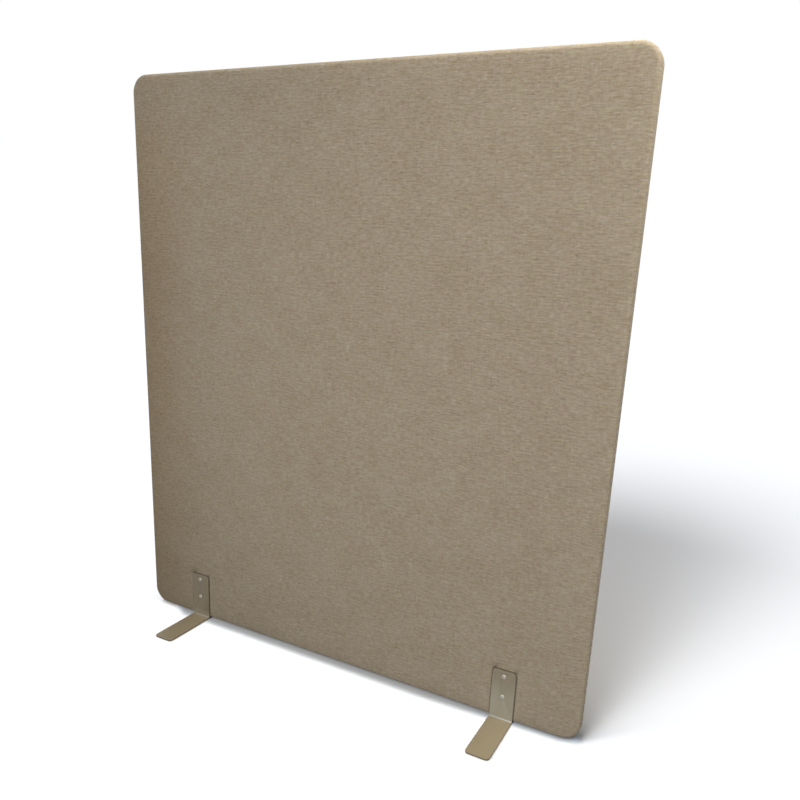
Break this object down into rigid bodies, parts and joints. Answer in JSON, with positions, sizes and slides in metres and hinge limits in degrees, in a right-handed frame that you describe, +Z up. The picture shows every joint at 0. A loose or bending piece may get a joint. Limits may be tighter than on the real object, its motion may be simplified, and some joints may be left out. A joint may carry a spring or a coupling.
{
  "type": "freestanding screen",
  "caption": "Freestanding upholstered screen: a flat padded panel with rounded corners and rolled edges in heather cloth, on bent flat-steel feet screwed to its front and back.",
  "frame": {"origin": "on the floor under the middle of the panel, midway between the front and back feet", "axes": "+X along the panel to the right as seen from the front, -Y out of the front face, +Z up"},
  "size_m": [1.35, 0.35, 1.502],
  "materials": {
    "timber": "matte",
    "tenon_wood": "matte",
    "core_felt": "matte",
    "wadding": "matte",
    "cover_cloth": "matte",
    "closing_tape": "matte",
    "staple_wire": "satin",
    "foot_paint": "satin",
    "screw_zinc": "satin",
    "sleeve_zinc": "satin"
  },
  "bodies": {
    "root": {"frame_left_stile": "timber", "frame_right_stile": "timber", "frame_mid_stile": "timber", "frame_top_rail": "timber", "frame_bottom_rail": "timber", "left_foot_block": "timber", "right_foot_block": "timber", "frame_tenons": "tenon_wood", "left_core_slab": "core_felt", "right_core_slab": "core_felt", "front_wadding": "wadding", "back_wadding": "wadding", "front_cover": "cover_cloth", "back_cover": "cover_cloth", "bottom_closing_strip": "closing_tape", "cover_staples": "staple_wire", "front_left_foot": "foot_paint", "front_right_foot": "foot_paint", "back_left_foot": "foot_paint", "back_right_foot": "foot_paint", "foot_screws": "screw_zinc", "threaded_sleeves": "sleeve_zinc"}
  },
  "joints": []
}
